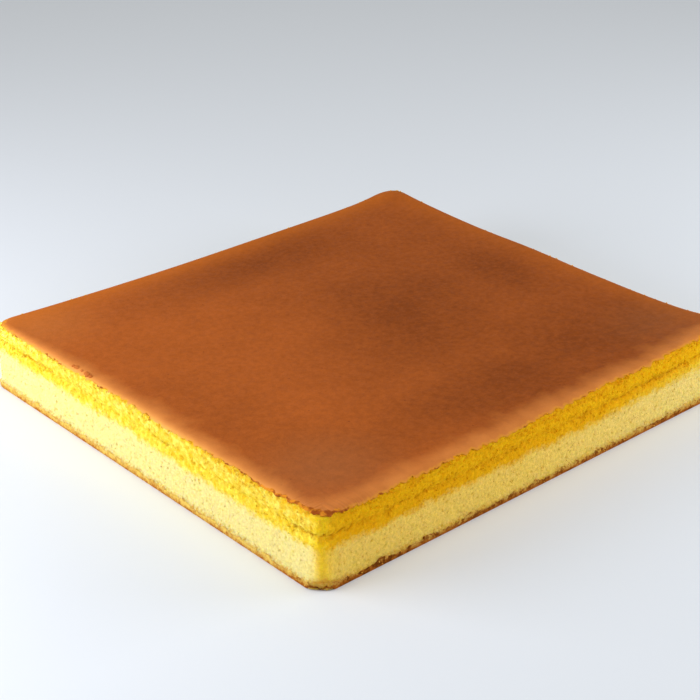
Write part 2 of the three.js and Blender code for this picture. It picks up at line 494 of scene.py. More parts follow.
def strip_uvs(count, row_count, strips, share=1.0, margin=0.02):
    """A grid's layout: cut in strips that are stacked in the lower `share` of the square."""
    column, row = np.meshgrid(np.arange(count), np.arange(row_count), indexing="ij")
    per_strip = math.ceil(count / strips)
    strip = column // per_strip
    corners = []
    for add_column, add_row in ((0, 0), (1, 0), (1, 1), (0, 1)):
        u = (column - strip * per_strip + add_column) / per_strip
        v = (strip + margin + (1 - 2 * margin) * (row + add_row) / row_count) / strips * share
        corners.append(np.stack([u, v], -1))
    return np.stack(corners, 2).reshape(-1, 4, 2)


def sharpen(piece, chosen):
    """Marks the edges between the chosen points as sharp, so the seen faces shade cleanly."""
    mesh = piece.data
    is_chosen = np.zeros(len(mesh.vertices), bool)
    is_chosen[chosen] = True
    ends = np.empty(len(mesh.edges) * 2, np.int32)
    mesh.edges.foreach_get("vertices", ends)
    sharp = is_chosen[ends.reshape(-1, 2)].all(1)
    attribute = mesh.attributes.get("sharp_edge") or mesh.attributes.new("sharp_edge", "BOOLEAN", "EDGE")
    attribute.data.foreach_set("value", sharp)


def finish_piece(piece):
    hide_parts("castella_sponge")
    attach(piece, "root")


# %% [markdown]
# ## Geometry Nodes: open crumb
# A peeled sponge wall isn't smooth. The paper takes a skin of crumb with it and leaves lumps
# a few millimetres across, a finer grain on them, and the open mouths of gas bubbles. In the
# denser band under the crust the crumb tears in flat ledges. The tree moves each point along
# its `out` arrow by noises and a Voronoi pattern of bubbles, and keeps how deep it went in an
# attribute, so that the material can shade the hollows. `fold` says where the crease is, and
# `hold` how far a point may move. Every noise reads the point's own place, so the pattern has
# no seam.

# %% Tree of the crumb's relief
CRUMB_RELIEF = {
    "Lump Size": 5.5,
    "Lump Rise": 0.3,
    "Grain Size": 2.2,
    "Grain Rise": 0.55,
    "Ledge Rise": 0.55,
    "Bubble Size": 3.6,
    "Bubble Depth": 0.5,
    "Fold Pit Depth": 0.6,
}


def named(t, label, kind="FLOAT"):
    node = t.node("GeometryNodeInputNamedAttribute", {"Name": label}, data_type=kind)
    return node.outputs[0]


def start_tree(name, sizes):
    """A new tree with a mesh in, a mesh out, and the named sizes as its inputs."""
    group = bpy.data.node_groups.new(name, "GeometryNodeTree")
    group.interface.new_socket("Geometry", in_out="INPUT", socket_type="NodeSocketGeometry")
    for label, value in sizes.items():
        size = group.interface.new_socket(label, in_out="INPUT", socket_type="NodeSocketFloat")
        size.default_value = value
    group.interface.new_socket("Geometry", in_out="OUTPUT", socket_type="NodeSocketGeometry")
    t = Tree(group)
    return group, t, t.node("NodeGroupInput").outputs


def end_tree(t, geometry, material):
    """The last two steps of every tree: make all copies real, and put the material on."""
    real = t.node("GeometryNodeRealizeInstances", {"Geometry": geometry})
    dressed = t.node("GeometryNodeSetMaterial", {"Geometry": real.outputs[0], "Material": material})
    t.node("NodeGroupOutput", {"Geometry": dressed.outputs[0]})


def sized_noise(t, place, size, flattening=1.0):
    """Noise from -0.5 to 0.5 with lumps of a size in millimetres, flattened from above."""
    flattened = t.vector("MULTIPLY", place, (1.0, 1.0, flattening))[0]
    inputs = {"Vector": flattened, "Scale": t.math("DIVIDE", 1 / MM, size), "Detail": 3.0}
    return t.minus(t.node("ShaderNodeTexNoise", inputs).outputs[0], 0.5)


def bent_place(t, place):
    """The place pushed about a little, so that cells which read it come out uneven."""
    bend = t.node("ShaderNodeTexNoise", {"Vector": place, "Scale": 600.0, "Detail": 1.0})
    return t.vector("ADD", place, t.lengthened(bend.outputs["Color"], 0.0016))[0]


def sized_cells(t, place, size):
    """Scattered cells of a size in millimetres."""
    return t.cells(place, t.math("DIVIDE", 1 / MM, size))


def crumb_relief_tree(material):
    group, t, given = start_tree("open_crumb", CRUMB_RELIEF)
    place = t.node("GeometryNodeInputPosition").outputs[0]
    level = named(t, "level")

    lumps = t.times(sized_noise(t, place, given["Lump Size"]), t.times(given["Lump Rise"], 2.0))
    bent = bent_place(t, place)
    grains = sized_cells(t, bent, given["Grain Size"])
    grain = t.times(t.minus(0.45, grains["Distance"]), given["Grain Rise"])
    ledges = t.times(sized_noise(t, place, 5.0, 3.0), given["Ledge Rise"])
    ledges = t.times(ledges, t.remap(level, 25.0, 31.0, 0.6, 2.0))
    rise = t.plus(t.plus(lumps, grain), ledges)

    bubbles = sized_cells(t, bent, given["Bubble Size"])
    reach = t.remap(t.first(bubbles["Color"]), 0.55, 1.0, 0.0, 0.42, smooth=False)
    mouth = t.remap(t.minus(reach, bubbles["Distance"]), 0.0, 0.25)
    bubble = t.times(mouth, given["Bubble Depth"])
    torn = t.remap(sized_noise(t, place, 3.2, 1.8), 0.0, 0.14)
    pit = t.times(t.times(torn, named(t, "fold")), given["Fold Pit Depth"])
    shift = t.times(t.minus(rise, t.plus(bubble, pit)), named(t, "hold"))

    hollow = {"Name": "hollow", "Value": t.times(shift, -1.0), "Geometry": given["Geometry"]}
    kept = t.node("GeometryNodeStoreNamedAttribute", hollow, data_type="FLOAT", domain="POINT")
    step = t.lengthened(named(t, "out", "FLOAT_VECTOR"), t.times(shift, MM))
    moved = t.node("GeometryNodeSetPosition", {"Geometry": kept.outputs[0], "Offset": step})
    end_tree(t, moved.outputs[0], material)
    return group


def apply_tree(piece, tree, settings=None):
    """Runs a tree on a piece and keeps the result as the piece's own plain mesh."""
    modifier = piece.modifiers.new(tree.name, "NODES")
    modifier.node_group = tree
    labels = {i.name: i.identifier for i in tree.interface.items_tree if i.in_out == "INPUT"}
    for label, value in (settings or {}).items():
        modifier[labels[label]] = value
    bpy.context.view_layer.update()
    graph = bpy.context.evaluated_depsgraph_get()
    evaluated = piece.evaluated_get(graph)
    plain = bpy.data.meshes.new_from_object(evaluated, preserve_all_data_layers=True, depsgraph=graph)
    piece.modifiers.remove(modifier)
    piece.data = plain
    plain.name = piece.name
    print(f"{piece.name} after {tree.name}: {len(plain.polygons)} faces")
    return piece


# %% [markdown]
# ## Material: the crumb
# The sponge is pale in the body and deep yellow in a band under the crust, where the top of
# the batter is denser and moister. The edge of that band isn't a ruled line: it drifts and
# breaks into the grain. So the colour is a ramp over `band`, and a coarse and a fine noise
# push it up and down before it is read. The two lit sides get a paler, lemon ramp and the two
# shaded sides a deeper, amber one: lit and shaded copies of one crumb, painted into the colour,
# and `amber` blends from one ramp to the other round the corners. The band is flecked
# with lighter and duller spots. `corner` marks the near corner, which is painted a clearer,
# brighter yellow, painted light that shines through it from the lit left side, and is toasted
# further up. The crease is darkened with painted shade, most in its pits, the hollows are
# darker with painted shade, and the raised tips get a painted highlight, mostly on the lit
# sides. A little subsurface light keeps the wall from looking like plaster, and more of it
# lets the near corner glow through. Loose crumbs are too small for it.

# %% Crumb material
# Lit and shaded copies of one crumb: the lit sides are painted paler and cooler, the shaded sides deeper and
# warmer.
LIT_SIDE_COLOURS = {
    "pale": (0.84, 0.70, 0.25),
    "deep": (0.86, 0.615, 0.045),
    "upper": (0.88, 0.62, 0.065),
    "under_crust": (0.90, 0.50, 0.025),
}
SHADED_SIDE_COLOURS = {
    "pale": (0.925, 0.62, 0.118),
    "deep": (0.84, 0.41, 0.004),
    "upper": (0.87, 0.43, 0.004),
    "under_crust": (0.86, 0.37, 0.004),
}
FLECK_LIGHT = (1.12, 1.3, 2.2)
FLECK_DULL = (0.92, 0.75, 0.28)
# Painted light: the clear yellow that light shining through the near corner gives it.
CORNER_GLOW = (1.0, 0.62, 0.018)
TOASTED = (0.72, 0.36, 0.045)
HOLLOW_SHADE = (0.80, 0.74, 0.42)
FOLD_SHADE_COLOUR = (0.62, 0.29, 0.007)
TIP_HIGHLIGHT = (1.0, 0.84, 0.38)
GLOW_DEPTH = 11.0


def crumb_bands(t, level, side):
    """Colour by level on one kind of side, from the pale body up to the crust."""
    stops = [
        (0.50, side["pale"]),
        (0.60, side["deep"]),
        (0.74, side["deep"]),
        (0.82, side["upper"]),
        (0.91, side["upper"]),
        (0.96, side["under_crust"]),
    ]
    return t.ramp(t.math("DIVIDE", level, 50.0), stops)


def crumb_material(name, glow):
    material, t, shader = new_material(name, specular=0.03)
    place = t.own_place()
    level, band, hollow, fold, amber, corner = t.marks("level", "band", "hollow", "fold", "amber", "corner")

    breakup = t.remap(t.noise(place, 3.4, 4, 0.65), 0.25, 0.75, -3.0, 3.0, smooth=False)
    shifted = t.plus(band, t.plus(t.sway(place, 30, 1.2), breakup))
    # Painted light and shade: the lit sides take the paler ramp, the shaded sides the deeper one.
    lit_ramp, shaded_ramp = (crumb_bands(t, shifted, side) for side in (LIT_SIDE_COLOURS, SHADED_SIDE_COLOURS))
    colour = t.blend(amber, lit_ramp, shaded_ramp)
    fleck = t.noise(place, 4, 3, 0.6)
    flecked = t.times(t.remap(shifted, 24.0, 31.0), t.remap(amber, 0.2, 0.9, 1.0, 0.35))
    light = t.times(t.remap(fleck, 0.51, 0.63, 0.0, 0.8), flecked)
    colour = t.blend(light, colour, FLECK_LIGHT, "MULTIPLY")
    dull = t.times(t.remap(fleck, 0.48, 0.36, 0.0, 0.8), flecked)
    colour = t.blend(dull, colour, FLECK_DULL, "MULTIPLY")
    # Painted light: the near corner is painted a clearer, brighter yellow where light from the lit left side
    # shines through it.
    colour = t.blend(t.times(corner, 0.95), colour, CORNER_GLOW)
    foot = t.plus(t.math("MULTIPLY_ADD", corner, -4.5, level), t.sway(place, 2.4, 1.5, 4, 0.7))
    colour = t.blend(t.remap(foot, 5.8, 3.2, 0.0, 0.85), colour, TOASTED)
    grain = t.remap(t.noise(place, 2.1, 5, 0.75), 0.3, 0.7, 0.82, 1.14, smooth=False)
    tint = t.node("ShaderNodeCombineColor", {0: grain, 1: grain, 2: grain}).outputs[0]
    colour = t.blend(1.0, colour, tint, "MULTIPLY")
    # Painted shade: the crease is darkened towards amber-brown, most where its pits go deepest.
    fold_shade = t.times(t.remap(fold, 0.4, 1.1, 0.0, 0.7), t.remap(hollow, -0.2, 0.7, 0.15, 1.0))
    colour = t.blend(fold_shade, colour, FOLD_SHADE_COLOUR)
    colour = t.blend(t.remap(hollow, 0.0, 0.7), colour, HOLLOW_SHADE, "MULTIPLY")
    # Painted highlight: the raised tips are paler, mostly on the lit sides.
    tip_highlight = t.times(t.remap(hollow, -0.15, -0.5), t.remap(t.noise(place, 1.5, 2), 0.42, 0.7))
    tip_highlight = t.times(tip_highlight, t.remap(amber, 0.0, 1.0, 0.6, 0.01))
    t.feed(shader["Base Color"], t.blend(tip_highlight, colour, TIP_HIGHLIGHT))

    t.feed(shader["Roughness"], 0.85)
    t.feed(shader["Subsurface Weight"], t.math("MULTIPLY_ADD", corner, 0.6 * glow, glow))
    t.feed(shader["Subsurface Radius"], (1.0, 0.7, 0.08))
    t.feed(shader["Subsurface Scale"], GLOW_DEPTH * MM)
    t.roughen(shader, t.noise(place, 1.1, 4, 0.7), strength=0.9, depth=0.8)
    return material


crumb = crumb_material("crumb", 0.6)
loose_crumb = crumb_material("loose_crumb", 0.0)
print("crumb material:", len(crumb.node_tree.nodes), "nodes")

# %% [markdown]
# ## The crumb wall
# The wall is one ring, two centimetres thick, that goes right round the sheet. Its outer face
# is a fine grid that follows the outline, the ridges and the crease, and rolls over the rim to
# just under the torn edge of the crust. Its back is plain and is never seen. A closed ring is
# a real solid, so light can travel a little way into it, as it does in sponge.

# %% The edge where crust and crumb meet
EDGE_TURN = 43.0
EDGE_LEAN = 6.0
EDGE_DRIFT = 6.0
EDGE_FRAY = 5.0
EDGE_FRONT_DROP = 22.0
EDGE_FAR_DROP = 14.0
NEAR_TIP_DROP = 17.0
NEAR_TIP_REACH = 14.0
FAR_TIP_DROP = 26.0
FAR_TIP_REACH = 24.0


def edge_turn(x, y):
    """Where on the rolled rim the skin is torn off: 0 degrees is its foot, 90 is the flat top."""
    share = share_of_rim(x, y)
    lean = EDGE_LEAN * (x / HALF_LENGTH - y / HALF_WIDTH)
    drift = EDGE_DRIFT * ragged(share, seed=5, longest=190, shortest=32)
    fray = EDGE_FRAY * ragged(share, seed=6, longest=16, shortest=3.0)
    from_tip = from_near_tip(share)
    near_tip = NEAR_TIP_DROP * bell(from_tip, NEAR_TIP_REACH)
    far_tip = FAR_TIP_DROP * bell((share - 0.25) * PERIMETER, FAR_TIP_REACH)
    front = between(from_tip, -12, 24) * between((1 - share) * PERIMETER, 0, 24)
    far = between((0.5 - share) * PERIMETER, 0, 40) * between(share * PERIMETER, 0, 24)
    drop = near_tip + EDGE_FRONT_DROP * front + EDGE_FAR_DROP * far + far_tip
    uneven = (drift + fray) * (1 + 0.5 * front)
    return np.radians(np.maximum(EDGE_TURN + lean + uneven - drop, 1))


def roll_place(turn):
    """Inset and level at a turn of the rolled rim."""
    inset = CRUST_LIP + ROLL_WIDTH * (1 - np.cos(turn))
    return inset, HEIGHT - ROLL_DEPTH * (1 - np.sin(turn))


# %% Make the wall
WALL_STEP = 0.48
WALL_FOOT = 0.7
WALL_STRIPS = 8
ROLL_ROWS = 14
ROLL_START = -0.12
ROLL_END = math.radians(78)
RUN_IN = 6.0  # millimetres of upright wall for each radian before the roll's foot
CRUMB_UNDER_SKIN = 0.15
TUCK_TURN = math.radians(12)
TUCK_DEPTH = 0.9
RING_DEPTH = 20.0
FLARE = 1.2
GLOW_REACH_LEFT = 7.0
GLOW_REACH_FRONT = 10.0
FRONT_PALING = 0.55
PALING_TOP = 31.0
PALING_CLIMB = 5.0
PALING_FADE = 5.0
TINT_SWING = 0.8
TINT_PEAK = 0.3


def wall_profile():
    """Level, inset, corner radius and upward lean of each row: up the outside, down the back."""
    row_count = round((WALL_SHOULDER - WALL_FOOT) / WALL_STEP)
    level = np.linspace(WALL_FOOT, WALL_SHOULDER, row_count, endpoint=False)
    turn = np.linspace(ROLL_START, ROLL_END, ROLL_ROWS)
    roll_inset, roll_level = roll_place(np.maximum(turn, 0))
    roll_level = roll_level + RUN_IN * np.minimum(turn, 0)
    roll_radius = CRUST_CORNER + (TOP_CORNER - CRUST_CORNER) * between(turn, 0, np.pi / 2)
    flare = np.clip(BASE_HEIGHT + WALL_SETBACK - level, 0, FLARE)
    return (
        np.concatenate([level, roll_level, [WALL_SHOULDER, WALL_FOOT]]),
        np.concatenate([WALL_SETBACK - flare, roll_inset + CRUMB_UNDER_SKIN, [RING_DEPTH, RING_DEPTH]]),
        np.concatenate([WALL_CORNER + flare, roll_radius, [WALL_CORNER, WALL_CORNER]]),
        np.concatenate([np.zeros(row_count), np.maximum(turn, 0), [0, 0]]),
    )


def make_wall():
    columns, profile = walk(WALL_STEP, WALL_CORNER), wall_profile()
    shape = (len(columns[0]), len(profile[0]))
    corner, turn, along, around = (np.broadcast_to(a[:, None], shape) for a in columns)
    level, inset, radius, lean = (np.broadcast_to(a[None, :], shape) for a in profile)
    seen = np.arange(shape[1]) < shape[1] - 2
    x, y = outline(corner, turn, along, inset - seen * wall_relief(level, around), radius, level)
    past_edge = between(lean - edge_turn(x, y), 0, TUCK_TURN)
    out_arrow = np.stack([np.cos(turn) * np.cos(lean), np.sin(turn) * np.cos(lean), np.sin(lean)], -1)
    z = level / HEIGHT * top_height(x, y) - CRUMB_UNDER_SKIN * np.sin(lean)
    points = np.stack([x, y, z], -1) - out_arrow * past_edge[..., None] * TUCK_DEPTH

    index = np.arange(level.size).reshape(shape)
    faces = grid_faces(np.concatenate([index, index[:, :1]], 1))
    own_level = band_level(level, around)
    # The painted shade mask: 1 on the shaded front and right, 0 on the lit left and back.
    facing = np.cos(turn) - np.sin(turn)
    from_tip = from_near_tip(share_of_rim(x, y))
    glow_reach = np.where(from_tip < 0, GLOW_REACH_LEFT, GLOW_REACH_FRONT)
    # The painted shade of the shaded sides eases off towards the right end, below the band.
    paling_top = PALING_TOP + PALING_CLIMB * between(x, 50, 120)
    low_enough = between(paling_top - own_level, 0, PALING_FADE)
    paling = FRONT_PALING * between(x, -20, 180) * low_enough
    attributes = {
        "level": level.ravel(),
        "band": (own_level - TINT_SWING * np.cos(2 * np.pi * (around - TINT_PEAK))).ravel(),
        "fold": (seen * band_strength(around) * bell(own_level - CREASE[0], CREASE[1])).ravel(),
        "amber": (np.clip(0.5 + 0.6 * facing, 0, 1) * (1 - paling)).ravel(),
        "corner": (seen * bell(from_tip, glow_reach)).ravel(),
        "out": out_arrow.reshape(-1, 3),
        "hold": (seen * (1 - past_edge)).ravel(),
    }
    uvs = [strip_uvs(*shape, WALL_STRIPS)]
    wall = build_piece("crumb_wall", points.reshape(-1, 3), faces.tolist(), uvs, attributes, crumb)
    sharpen(wall, index[:, [0, -3, -2, -1]].ravel())
    return wall


crumb_wall = apply_tree(make_wall(), crumb_relief_tree(crumb))

# %% [markdown]
# ## Material: the top crust
# The top is a smooth skin, browned by sugar: reddish brown, with a painted falloff of light
# that leaves it lighter towards the left end, a few slow darker clouds, tiny pricks where
# bubbles burst, and a paler, peach-coloured rim on the two near sides: partly where the skin
# rolls over and browned less, partly painted light where it rolls towards the lamps. `rim` is
# the distance in from the torn edge, and `pale` is how much of that paler rim shows.
# `cream` is a narrow, still paler line along the left rim, a painted highlight where
# the rim rolls towards the lamp on the left, and `orange` the cast of the two far rims. `tear`
# is how wide the dark, torn line is, and `pucker` how much the skin has gathered into little
# furrows at the near corner, where the paper was folded; painted shade darkens the furrows'
# troughs and lightens their crests. `along` counts the millimetres round the rim, for those
# furrows.
#
# The clouds are listed: each has a place, a reach and a strength.

# %% Top crust material
CRUST_DARK = (0.222, 0.050, 0.007)
CRUST_LIGHT = (0.44, 0.106, 0.016)
RIM_PALE = (0.76, 0.27, 0.060)
RIM_HIGHLIGHT_COLOUR = (0.82, 0.41, 0.10)
RIM_ORANGE = (0.70, 0.18, 0.010)
RIM_FRINGE = (0.72, 0.30, 0.025)
RIM_TORN = (0.33, 0.075, 0.008)
RIM_SINGED = (0.74, 0.26, 0.018)
MAUVE_SHEEN = (0.42, 0.19, 0.075)
PRICK = (0.17, 0.035, 0.006)
# Darker clouds: place in X and Y, reach in X and Y, strength. A negative one is lighter.
CLOUDS = [
    (40, 10, 64, 50, 0.36),
    (-2, -42, 62, 40, 0.26),
    (138, -4, 30, 48, 0.30),
    (150, 145, 60, 50, -0.14),
    (25, 132, 70, 30, 0.34),
    (-50, 132, 60, 30, 0.28),
    (-25, -128, 80, 32, 0.40),
    (120, -122, 90, 48, 0.34),
    (-152, -45, 32, 70, 0.24),
    (-135, -128, 60, 34, 0.21),
]
# Places with a painted milky sheen, paler near the left corner and a dull mauve along the front, in the same
# order, and the colour of each.
SHEEN_CASTS = [
    ((-174, 150, 46, 42, 0.22), RIM_PALE),
    ((-150, -134, 46, 42, 0.20), MAUVE_SHEEN),
    ((160, -138, 46, 40, 0.13), MAUVE_SHEEN),
]
# The way the painted falloff of light darkens the top: lighter at the left end, darker to the right.
FALLOFF_TOWARDS = (1.0, -0.15, 0.0)
# What the skin's grid says of each point.
SKIN_MARKS = ("rim", "tear", "pale", "cream", "orange", "pucker", "along")


def cloud_shade(t, place, cloud):
    x, y, reach_x, reach_y, strength = cloud
    scaled = {
        "Vector": place,
        "Location": (-x / reach_x, -y / reach_y, 0),
        "Scale": (1 / (reach_x * MM), 1 / (reach_y * MM), 0),
    }
    moved = t.node("ShaderNodeMapping", scaled).outputs[0]
    return t.remap(t.vector("LENGTH", moved)["Value"], 1.5, 0.0, 0.0, strength)


def top_crust_material():
    material, t, shader = new_material("top_crust", specular=0.04)
    place = t.own_place()
    rim, tear, pale, cream, orange, pucker, along = t.marks(*SKIN_MARKS)

    # Painted light: the brown is lighter towards the left end and darker to the right; the clouds then add
    # uneven browning.
    falloff_and_browning = t.remap(t.vector("DOT_PRODUCT", place, FALLOFF_TOWARDS)["Value"], -0.11, 0.07, 0.18, 0.55)
    for cloud in CLOUDS:
        falloff_and_browning = t.plus(falloff_and_browning, cloud_shade(t, place, cloud))
    # Painted shade in the furrows: the brown darkens in their troughs and lightens on their crests, in step
    # with the bump below.
    furrow = t.node("ShaderNodeTexNoise", {"W": along, "Scale": 0.4, "Detail": 2.0}, noise_dimensions="1D")
    furrow = t.times(t.remap(furrow.outputs[0], 0.3, 0.7, -0.7, 0.7), pucker)
    mottle = t.plus(t.sway(place, 42, 0.1, 3, 0.55), t.sway(place, 4, 0.24, 5, 0.7))
    brown = t.blend(t.plus(t.plus(falloff_and_browning, furrow), mottle), CRUST_LIGHT, CRUST_DARK)

    cells = t.cells(place, 1 / (9 * MM))
    pricked = t.remap(cells["Distance"], 0.1, 0.04, 0.0, 0.6)
    brown = t.blend(t.times(pricked, t.remap(t.first(cells["Color"]), 0.4, 0.9)), brown, PRICK)

    # Painted sheen: a milky haze laid over the brown in a few places.
    for cloud, cast in SHEEN_CASTS:
        brown = t.blend(cloud_shade(t, place, cloud), brown, cast)
    brown = t.blend(orange, brown, RIM_ORANGE)
    # The peach rim on the near sides: partly the skin browning less, partly painted light where it rolls
    # towards the lamps.
    peach = t.remap(t.plus(pale, t.sway(place, 14, 0.12, 3)), 0.1, 1.0, smooth=False)
    brown = t.blend(peach, brown, RIM_PALE)
    bite = t.remap(t.noise(place, 4, 3, 0.65), 0.35, 0.65, -0.5, 0.5, smooth=False)
    bitten = t.plus(rim, bite)
    brown = t.blend(t.remap(bitten, 2.1, 0.1, 0.0, 0.85), brown, RIM_FRINGE)
    # Painted highlight: a narrow, paler line along the left rim, where it rolls towards the lamp.
    brown = t.blend(cream, brown, RIM_HIGHLIGHT_COLOUR)
    torn = t.times(t.remap(t.minus(bitten, tear), 0.35, -0.45), t.remap(tear, 0.1, 0.6))
    torn_brown = t.blend(t.remap(t.noise(place, 5, 3), 0.42, 0.6), RIM_TORN, RIM_SINGED)
    t.feed(shader["Base Color"], t.blend(torn, brown, torn_brown))

    t.feed(shader["Roughness"], t.remap(t.noise(place, 7, 4), 0.3, 0.7, 0.46, 0.6))
    skin = t.plus(t.noise(place, 2.2, 5, 0.65), t.times(furrow, -2.2))
    t.roughen(shader, skin, strength=0.5, depth=0.5)
    return material


top_crust_skin = top_crust_material()
print("top crust material:", len(top_crust_skin.node_tree.nodes), "nodes")

# %% [markdown]
# ## The top crust
# The skin is a grid too, but one that is drawn like a picture frame: line after line parallel
# to the rim, fine where the edge rolls over and coarser on the flat. Each ring of the grid
# has its own inset, level and corner radius. The ring number of a grid point is simply how
# many lines it is from the nearest edge, and the corners of each ring are bent to an arc.

# %% Rings of the crust
SKIN_THICKNESS = 0.3
SKIN_TUCK = 1.2
TUCK_ROWS = 2
# How far in the peach rim reaches on the near sides: partly the skin browning less, partly painted light
# where the rim rolls towards the lamps.
PALE_REACH_LEFT = 11.8
PALE_REACH_FRONT = 15.0
FRONT_PALENESS = 0.72
# The painted highlight along the left rim: its strength and reach.
LEFT_RIM_HIGHLIGHT = 0.95
RIM_HIGHLIGHT_REACH = 3.9
BACK_ORANGE = 0.42
RIGHT_ORANGE = 0.25
ORANGE_REACH = 19.0
PUCKER_REACH = 30.0
PUCKER_DEPTH = 7.0
TEAR_WIDTH = 1.5
NEAR_TEAR = 1.9
RIGHT_TEAR = 0.9
PATCH_TEAR = 0.4
TEAR_REACH_LEFT = 60.0
TEAR_REACH_FRONT = 20.0
SKIN_ROWS = 12
GROW_ROWS = 12
FIRST_STEP = 0.6
FLAT_STEP = 1.42
FLAT_INSET = CRUST_LIP + ROLL_WIDTH


def flat_lines():
    """Insets of the grid's lines on the flat: closer near the rim, and evenly spaced further in."""
    grown = FLAT_INSET + np.cumsum(np.linspace(FIRST_STEP, FLAT_STEP, GROW_ROWS))
    to_middle = round((HALF_WIDTH - grown[-1]) / FLAT_STEP)
    flat = np.linspace(grown[-1], HALF_WIDTH, to_middle + 1)[1:]
    spine = np.linspace(HALF_WIDTH, HALF_LENGTH, round((HALF_LENGTH - HALF_WIDTH) / FLAT_STEP) + 1)[1:]
    return np.concatenate([grown, flat]), spine


def place_on_ring(own, other, whole, half, radius, arc):
    """One coordinate on a ring: on the corner's arc while near the corner, then along the side.

    `own` and `other` are the distances from the ring's corner along this axis and the other;
    one of them is zero everywhere."""
    turn = np.pi / 4 * (1 + between(own, 0, arc) - between(other, 0, arc))
    bend = half - radius + radius * np.cos(turn)
    beyond = np.clip((own - arc) / np.maximum(whole - arc, 1e-6), 0, 1)
    return bend * (1 - beyond)


class CrustGrid:
    """The grid of the skin. `rim` is the distance in from the torn edge, in millimetres."""

    def __init__(self):
        flat, spine = flat_lines()
        rolled = TUCK_ROWS + SKIN_ROWS
        nominal = roll_place(np.linspace(math.radians(EDGE_TURN), np.pi / 2, SKIN_ROWS))
        roll_steps = np.hypot(np.diff(nominal[0]), np.diff(nominal[1]))
        tuck = np.linspace(0, SKIN_TUCK, TUCK_ROWS + 1)
        skin = np.concatenate([tuck, SKIN_TUCK + np.cumsum(roll_steps)])
        skin = np.concatenate([skin, skin[-1] + flat - FLAT_INSET])
        lines_x = np.concatenate([skin, skin[-1] + spine - HALF_WIDTH])
        count_x, count_y = len(lines_x), len(skin)
        index_x, index_y = np.arange(2 * count_x - 1), np.arange(2 * count_y - 1)
        i, j = np.meshgrid(
            np.minimum(index_x, index_x[::-1]), np.minimum(index_y, index_y[::-1]), indexing="ij"
        )
        self.side_x, self.side_y = np.meshgrid(
            np.where(index_x < count_x, -1, 1), np.where(index_y < count_y, -1, 1), indexing="ij"
        )
        ring = np.minimum(i, j)
        self.own_x, self.own_y = lines_x[i] - skin[ring], skin[j] - skin[ring]
        self.whole_x, self.whole_y = lines_x[-1] - skin[ring], skin[-1] - skin[ring]
        self.rim = np.maximum(skin[ring] - SKIN_TUCK, 0)

        lip, corner_radius = (np.full(ring.shape, value) for value in (CRUST_LIP, CRUST_CORNER))
        torn = edge_turn(*self.places(lip, corner_radius, HEIGHT - ROLL_DEPTH))
        turn = torn + (np.pi / 2 - torn) * between(ring, TUCK_ROWS, rolled - 1)
        roll_inset, roll_level = roll_place(turn)
        flat_inset = np.concatenate([np.zeros(rolled), flat])[ring]
        inset = np.where(ring < rolled, roll_inset, flat_inset)
        level = np.where(ring < rolled, roll_level, HEIGHT)
        tucked, under = ring < TUCK_ROWS, between(ring, TUCK_ROWS, 0)
        inset = inset + under * (1.4 + SKIN_THICKNESS * np.cos(turn))
        level = level - np.where(tucked, SKIN_THICKNESS * (0.9 + 0.1 * under), 0)
        bend = np.where(tucked, torn, turn) / (np.pi / 2)
        radius = CRUST_CORNER + (TOP_CORNER - CRUST_CORNER) * bend
        self.x, self.y = self.places(inset, radius, level)
        self.z = level / HEIGHT * top_height(self.x, self.y)
        self.mark_rims(share_of_rim(self.x, self.y))

    def mark_rims(self, share):
        """What the material reads: a peach rim on the near sides, partly painted light, a painted highlight
        along the left rim, and orange on the far ones.
        """
        from_front, from_back = HALF_WIDTH + self.y, HALF_WIDTH - self.y
        from_left, from_right = HALF_LENGTH + self.x, HALF_LENGTH - self.x
        from_tip = np.hypot(from_left, from_front)
        narrow = 1 - 0.5 * between(self.y, 80, 150)
        front = FRONT_PALENESS * bell(from_front, PALE_REACH_FRONT)
        left = bell(from_left, PALE_REACH_LEFT * narrow)
        self.pale = (1 - (1 - front) * (1 - left)) * (1 - 0.3 * bell(from_tip, 30))
        self.cream = LEFT_RIM_HIGHLIGHT * bell(from_left, RIM_HIGHLIGHT_REACH * narrow) * (1 - bell(from_tip, 48))
        self.orange = np.maximum(
            BACK_ORANGE * bell(from_back, ORANGE_REACH), RIGHT_ORANGE * bell(from_right, ORANGE_REACH)
        )
        self.pucker = bell(from_tip, PUCKER_REACH) * bell(self.rim, PUCKER_DEPTH)
        self.along = share * PERIMETER
        self.tear = self.torn_width(share)

    def torn_width(self, share):
        """Width of the dark torn line: widest at the near corner, and in patches elsewhere."""
        from_tip = from_near_tip(share)
        near = bell(from_tip, np.where(from_tip < 0, TEAR_REACH_LEFT, TEAR_REACH_FRONT))
        patches = np.clip(ragged(share, seed=8, longest=60, shortest=5), 0, 1)
        right = np.where(share < 0.25, RIGHT_TEAR, 0)
        widest = np.maximum(near * (NEAR_TEAR + 0.3 * patches), PATCH_TEAR * patches)
        return TEAR_WIDTH * np.maximum(widest, right)

    def places(self, inset, radius, level):
        index = np.where(self.side_y > 0, np.where(self.side_x > 0, 0, 1), np.where(self.side_x < 0, 2, 3))
        radius = radius + softening(index, level)
        radius = np.minimum(radius, 0.8 * np.maximum(HALF_WIDTH - inset, 0))
        arc = np.maximum(np.minimum(radius, 0.8 * self.whole_y), 1e-6)
        x = place_on_ring(self.own_x, self.own_y, self.whole_x, HALF_LENGTH - inset, radius, arc)
        y = place_on_ring(self.own_y, self.own_x, self.whole_y, HALF_WIDTH - inset, radius, arc)
        return self.side_x * x, self.side_y * y


crust_grid = CrustGrid()
print("crust grid:", crust_grid.x.shape, "points")


# %% Make the top crust
UV_SEEN = 0.985
UV_SIDES = (0.987, 0.994)
UV_LID = (0.5, 0.997)
UV_LID_REACH = (0.4, 0.002)
BACK_SIZE = 0.97
BACK_LEVEL = 44.0


